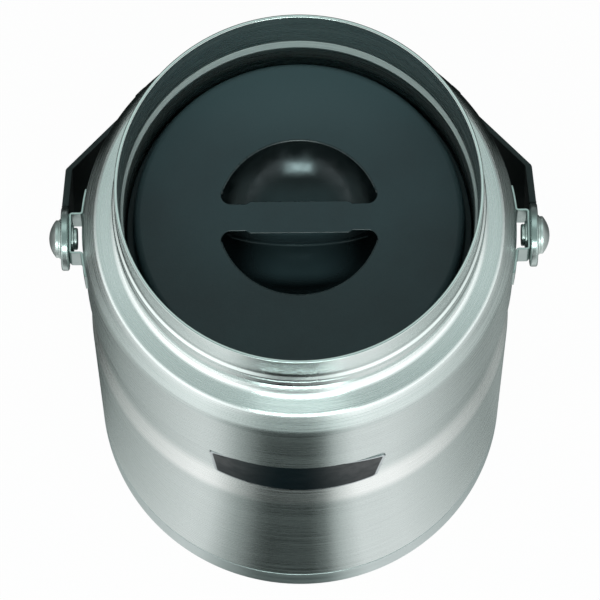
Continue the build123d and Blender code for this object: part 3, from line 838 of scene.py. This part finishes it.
def makeBadge(size):
    pocketFoot = size["plate"] - size["inlayDepth"]
    pocket = makePanelShell(pocketFoot, size["plate"] + 1)
    cut(pocket, makeBadgeBlock(size, size["border"]), "INTERSECT")
    plate = makePanelShell(0, size["plate"])
    cut(plate, makeBadgeBlock(size, 0), "INTERSECT")
    cut(plate, pocket)
    roundEdges(plate, size["edge"], 2, above=50)
    finishPiece(plate, "badge_rim", "jar", badgeAluminium, ["badge_plate"])
    inlay = makePanelShell(pocketFoot, size["plate"] + size["inlayProud"])
    cut(inlay, makeBadgeBlock(size, size["border"]), "INTERSECT")
    finishPiece(inlay, "badge_inlay", "jar", badgeEnamel, ["badge_face"])


makeBadge(badge)
print("badge ready")


# stopper: top with two finger recesses and the grip bar, lower cup and gasket

stopper = {"side": 45.4, "edge": 2.0, "flange": 47.6, "flangeFoot": 150.5, "flangeTop": 153.5,
           "inner": 43.2, "shell": 2.2, "bowl": 22.5, "bowlDepth": 11.8, "bar": 8.0, "pad": 9.4,
           "padLength": 28.0, "padSlant": 0.7, "padHeight": 1.6, "tip": 2.6, "rimRound": 0.45,
           "footRound": 0.8, "skin": 0.4,
           "cup": 44.8, "cupFoot": 134.9, "cupCorner": 3.0, "cupWall": 2.0, "spigot": 43.15,
           "spigotTop": 155.9, "gasketIn": 44.95, "gasketOut": 47.8, "gasketFoot": 148.05,
           "gasketTop": 150.45, "gasketChamfer": 0.6}


def makeRecessCutter(size, sphere, centre, turn):
    # the hollow on one side of the grip bar: a rounded half disc where it lies inside the bowl's sphere,
    # less the step of the bar's pad
    halfBar, halfPad, halfLength = size["bar"] / 2, size["pad"] / 2, size["padLength"] / 2
    tipY = halfBar + size["tip"]
    tipX = math.sqrt((size["bowl"] - size["tip"])**2 - tipY**2)
    tipTurn = math.degrees(math.atan2(tipY, tipX))
    drawLine((0, halfBar), [
        (tipX, halfBar),
        (tipX, tipY, 90 + tipTurn, 10),
        (0, 0, 180 - 2 * tipTurn, 72),
        (-tipX, tipY, 90 + tipTurn, 10),
        (0, halfBar),
    ])
    cutter = raiseOutline(lidFace - size["bowlDepth"] - spare, lidFace + spare)
    deselectAll()
    bpy.ops.mesh.primitive_uv_sphere_add(segments=160, ring_count=100, radius=sphere * mm,
                                         location=(0, 0, centre * mm))
    ball = bpy.context.object
    applyPlace(ball)
    cut(cutter, ball, "INTERSECT")
    applyPlace(cutter)
    editMode()
    pickEdges(lambda x, y, z: y < halfBar + 0.02 and z < lidFace - 1, bend=math.radians(30))
    bpy.ops.mesh.bevel(offset=size["footRound"] * mm, segments=5, affect="EDGES")
    objectMode()
    drawLine((-halfLength - size["padSlant"], halfBar - 1), [
        (halfLength + size["padSlant"], halfBar - 1),
        (halfLength + size["padSlant"], halfBar),
        (halfLength - size["padSlant"], halfPad),
        (-halfLength + size["padSlant"], halfPad),
        (-halfLength - size["padSlant"], halfBar),
        (-halfLength - size["padSlant"], halfBar - 1),
    ])
    cut(cutter, raiseOutline(lidFace - size["padHeight"], lidFace + 5))
    applyPlace(cutter)
    cutter.rotation_euler.z = turn
    applyPlace(cutter)
    return cutter


def makeLidTop(size):
    sphere = (size["bowl"]**2 + size["bowlDepth"]**2) / (2 * size["bowlDepth"])
    centre = lidFace + sphere - size["bowlDepth"]
    under = lidFace - size["shell"]
    piece = turnSolid([
        (0, lidFace),
        (size["side"], lidFace, size["edge"], 8),
        (size["side"], size["flangeTop"], 0.8, 4),
        (size["flange"], size["flangeTop"], 0.4, 3),
        (size["flange"], size["flangeFoot"], 0.2, 2),
        (size["inner"], size["flangeFoot"]),
        (size["inner"], under),
        *bowlArc(sphere + size["shell"], centre, under, 24),
    ])
    editMode()
    pickFaces(lambda place, normal: place.z > lidFace - near and normal.z > 0.99)
    bpy.ops.mesh.dissolve_faces(use_verts=True)
    objectMode()
    cut(piece, makeRecessCutter(size, sphere, centre, 0))
    cut(piece, makeRecessCutter(size, sphere, centre, math.pi))
    applyPlace(piece)
    editMode()
    pickEdges(lambda x, y, z: abs(z - lidFace) < near and math.hypot(x, y) < size["bowl"] + 0.1,
              bend=math.radians(20))
    bpy.ops.mesh.bevel(offset=size["rimRound"] * mm, segments=4, affect="EDGES")
    objectMode()
    finishPiece(piece, "lid_shell", "lid", lidPlastic, ["lid_top"])
    skin = sphere + size["skin"]
    middle = Vector((0, 0, centre))
    repaint(piece, rimPlastic, lambda place, normal: place.xy.length < size["bowl"] + 0.3
            and lidFace - size["rimRound"] < place.z < lidFace - 0.02)
    repaint(piece, recessPlastic, lambda place, normal: place.z < lidFace - size["rimRound"] * 0.8
            and (place - middle).length < skin)


def makeLidBase(size):
    floorTop = size["cupFoot"] + size["cupWall"]
    piece = turnSolid([
        (0, size["cupFoot"]),
        (size["cup"], size["cupFoot"], size["cupCorner"], 8),
        (size["cup"], size["flangeFoot"], 0.2, 2),
        (size["spigot"], size["flangeFoot"]),
        (size["spigot"], size["spigotTop"], 0.3, 2),
        (size["spigot"] - size["cupWall"], size["spigotTop"], 0.3, 2),
        (size["spigot"] - size["cupWall"], floorTop, 1.0, 4),
        (0, floorTop),
    ])
    finishPiece(piece, "lid_cup", "lid", cupPlastic, ["lid_base"])


def makeGasket(size):
    chamfer = size["gasketChamfer"]
    piece = turnSolid([
        (size["gasketIn"], size["gasketFoot"]),
        (size["gasketOut"], size["gasketFoot"], chamfer, 4),
        (size["gasketOut"], size["gasketTop"], chamfer, 4),
        (size["gasketIn"], size["gasketTop"], 0.2, 2),
        (size["gasketIn"], size["gasketFoot"]),
    ])
    finishPiece(piece, "gasket_ring", "seal", gasketRubber, ["lid_gasket"])


makeLidTop(stopper)
makeLidBase(stopper)
makeGasket(stopper)
print("stopper ready")


# pivots: bent bracket, rivet and its washers on either side

pivot = {"bracketFace": 63.65, "bracketWall": 0.6, "bracketHeight": 10.2, "bracketHalf": 6.0,
         "bracketReach": 12.9, "bend": 0.9, "footBend": 0.35, "sheetEdge": 0.1, "pin": 2.5,
         "washerIn": 65.95, "washerThick": 0.5, "washer": 5.5, "head": 5.2, "headEdge": 0.9,
         "headHeight": 2.85, "tail": 3.1, "tailIn": 61.35, "tailOut": 62.45, "tailWasher": 3.9}
sides = {"left": -1, "right": 1}


def makeBracket(size, name, side):
    outside = bodyRadius + size["bracketWall"]
    startTurn = math.asin(size["bracketReach"] / outside)
    endTurn = math.asin(size["bracketHalf"] / outside)
    steps = 6
    turns = [startTurn + (endTurn - startTurn) * n / steps for n in range(steps + 1)]
    arc = [(outside * math.cos(turn), -outside * math.sin(turn)) for turn in turns]
    arc[-1] = (*arc[-1], size["footBend"], 3)
    leg = (size["bracketFace"], -size["bracketHalf"], size["bend"], 6)
    halfWay = arc + [leg]
    plan = halfWay + [(x, -y, *bend) for x, y, *bend in reversed(halfWay)]
    piece = stripAlong(plan, size["bracketHeight"])
    faceOutward(piece)
    thicken(piece, size["bracketWall"])
    cut(piece, addCrossRod(size["pin"], 3 * bodyRadius, 64))
    roundEdges(piece, size["sheetEdge"], 2, above=60)
    piece.rotation_euler.z = 0 if side > 0 else math.pi
    piece.location.z = pivotHeight * mm
    finishPiece(piece, f"pivot_bracket_{name}", "jar", bracketSteel, [f"bracket_{name}"])


def turnAcross(corners, side, segments=96):
    # a turned piece whose heights are distances from the jar's middle along X
    piece = turnSolid(corners, segments)
    piece.rotation_euler.y = side * math.pi / 2
    applyPlace(piece)
    return piece


def makeRivet(size, name, side):
    headIn = size["washerIn"] + size["washerThick"]
    rise = size["headHeight"] - size["headEdge"]
    dome = (size["head"]**2 + rise**2) / (2 * rise)
    domeCentre = headIn + size["headHeight"] - dome
    fullTurn = math.asin(size["head"] / dome)
    domeSteps = 12
    turns = [fullTurn * (1 - n / domeSteps) for n in range(domeSteps + 1)]
    piece = turnAcross([
        (0, size["tailIn"]),
        (size["tail"], size["tailIn"], 0.45, 4),
        (size["tail"], size["tailOut"], 0.2, 3),
        (size["pin"], size["tailOut"]),
        (size["pin"], headIn),
        (size["head"], headIn, 0.2, 3),
        *[(dome * math.sin(turn), domeCentre + dome * math.cos(turn)) for turn in turns],
    ], side)
    piece.location.z = pivotHeight * mm
    finishPiece(piece, f"rivet_body_{name}", "jar", rivetSteel, [f"rivet_{name}"])


def makeWasher(size, name, side, kind, radius, inner, thick):
    bore = size["pin"] + 0.02
    piece = turnAcross([
        (bore, inner), (radius, inner, 0.15, 3), (radius, inner + thick, 0.15, 3), (bore, inner + thick),
        (bore, inner),
    ], side)
    piece.location.z = pivotHeight * mm
    finishPiece(piece, f"{kind}_ring_{name}", "jar", rivetSteel, [f"{kind}_{name}"])


for name, side in sides.items():
    makeBracket(pivot, name, side)
    makeRivet(pivot, name, side)
    makeWasher(pivot, name, side, "pivot_washer", pivot["washer"], pivot["washerIn"],
               pivot["washerThick"])
    makeWasher(pivot, name, side, "tail_washer", pivot["tailWasher"], pivot["tailOut"],
               pivot["bracketFace"] - pivot["bracketWall"] - pivot["tailOut"])
print("pivots ready")


# handle: eye plates on the rivets, the bent strap and the grip, made flat and folded back

handle = {"fold": 48.0, "eye": 8.8, "eyeThick": 2.1, "eyeEdge": 0.5, "eyeBore": 2.58, "notch": 8.85,
          "tongue": (0.7, 16.0, 11.0), "tongueMiddle": 64.55, "slotGap": 0.05, "armStart": 3.0,
          "armLength": 31.0, "crossbar": 102.67, "crossbarHalf": 38.62,
          "armRound": 2.5, "bowRound": 20.0, "width": 16.8, "thick": 2.0, "edge": 0.4,
          "gripFoot": 85.67, "gripWidth": 19.0, "gripOutside": 1.0, "gripInside": 2.0,
          "gripEdge": 0.8}


def bendCut(before, corner, after, radius):
    # how far from a corner an arc of this radius starts
    turn = (Vector(corner) - Vector(before)).angle(Vector(after) - Vector(corner))
    return radius * math.tan(turn / 2)


def strapPlan(size):
    foot = (eyeInner, size["armStart"])
    knee = (eyeInner, size["armLength"])
    corner = (size["crossbarHalf"], size["crossbar"])
    kneeCut = bendCut(foot, knee, corner, size["armRound"])
    cornerCut = bendCut(knee, corner, (0, size["crossbar"]), size["bowRound"])
    half = [foot, (*knee, kneeCut, 6), (*corner, cornerCut, 16)]
    return [(-x, y, *bend) for x, y, *bend in half] + half[::-1]


def foldBack(piece):
    applyPlace(piece)
    piece.rotation_euler.x = -math.radians(handle["fold"])
    piece.location.z = pivotHeight * mm


def tongueBlock(size, side, gap=0.0):
    thick, length, width = size["tongue"]
    return addBlock((thick + 2 * gap, length + gap, width + 2 * gap),
                    (side * size["tongueMiddle"], (length + gap) / 2, 0))


def makeEye(size, name, side):
    outer = eyeInner + size["eyeThick"]
    piece = turnAcross([
        (0, eyeInner),
        (size["eye"], eyeInner, size["eyeEdge"], 4),
        (size["eye"], outer, size["eyeEdge"], 4),
        (0, outer),
    ], side)
    cut(piece, tongueBlock(size, side), "UNION")
    cut(piece, addCrossRod(size["eyeBore"], 3 * bodyRadius, 64))
    foldBack(piece)
    finishPiece(piece, f"eye_plate_{name}", "handle", eyeSteel, [f"handle_eye_{name}"])


def makeBow(size):
    piece = stripAlong(strapPlan(size), size["width"])
    faceOutward(piece)
    thicken(piece, size["thick"], side=1)
    cut(piece, addCrossRod(size["notch"], 3 * bodyRadius))
    roundEdges(piece, size["edge"], 4, above=50)
    for side in sides.values():
        cut(piece, tongueBlock(size, side, size["slotGap"]))
    foldBack(piece)
    finishPiece(piece, "strap", "handle", strapCoat, ["handle_bow"])
    fold = math.radians(size["fold"])
    across = Vector((0, math.sin(fold), math.cos(fold)))
    repaint(piece, edgeCoat, lambda place, normal: abs(normal.dot(across)) > 0.8)


def makeGrip(size):
    piece = stripAlong(strapPlan(size), size["gripWidth"])
    faceOutward(piece)
    outward = size["thick"] + size["gripOutside"]
    full = outward + size["gripInside"]
    thicken(piece, full, side=2 * outward / full - 1)
    editMode()
    bpy.ops.mesh.select_all(action="SELECT")
    bpy.ops.mesh.bisect(plane_co=(0, size["gripFoot"] * mm, 0), plane_no=(0, 1, 0), clear_inner=True,
                        use_fill=True)
    closeSolid()
    roundEdges(piece, size["gripEdge"], 5, above=50)
    foldBack(piece)
    finishPiece(piece, "grip_sleeve", "handle", gripPlastic, ["handle_grip"])


for name, side in sides.items():
    makeEye(handle, name, side)
makeBow(handle)
makeGrip(handle)
print("handle ready")


# pieces kept from the frame, out of sight inside the jar and the stopper

innerDress = {"casing_floor": baseSteel, "vacuum_seal": sealGlass, "getter": getterPill,
              "heat_shield": foilCopper, "lid_foam": foamCore}
for node, material in innerDress.items():
    for slot in bpy.data.objects[node].material_slots:
        slot.material = material
print("inner pieces dressed")
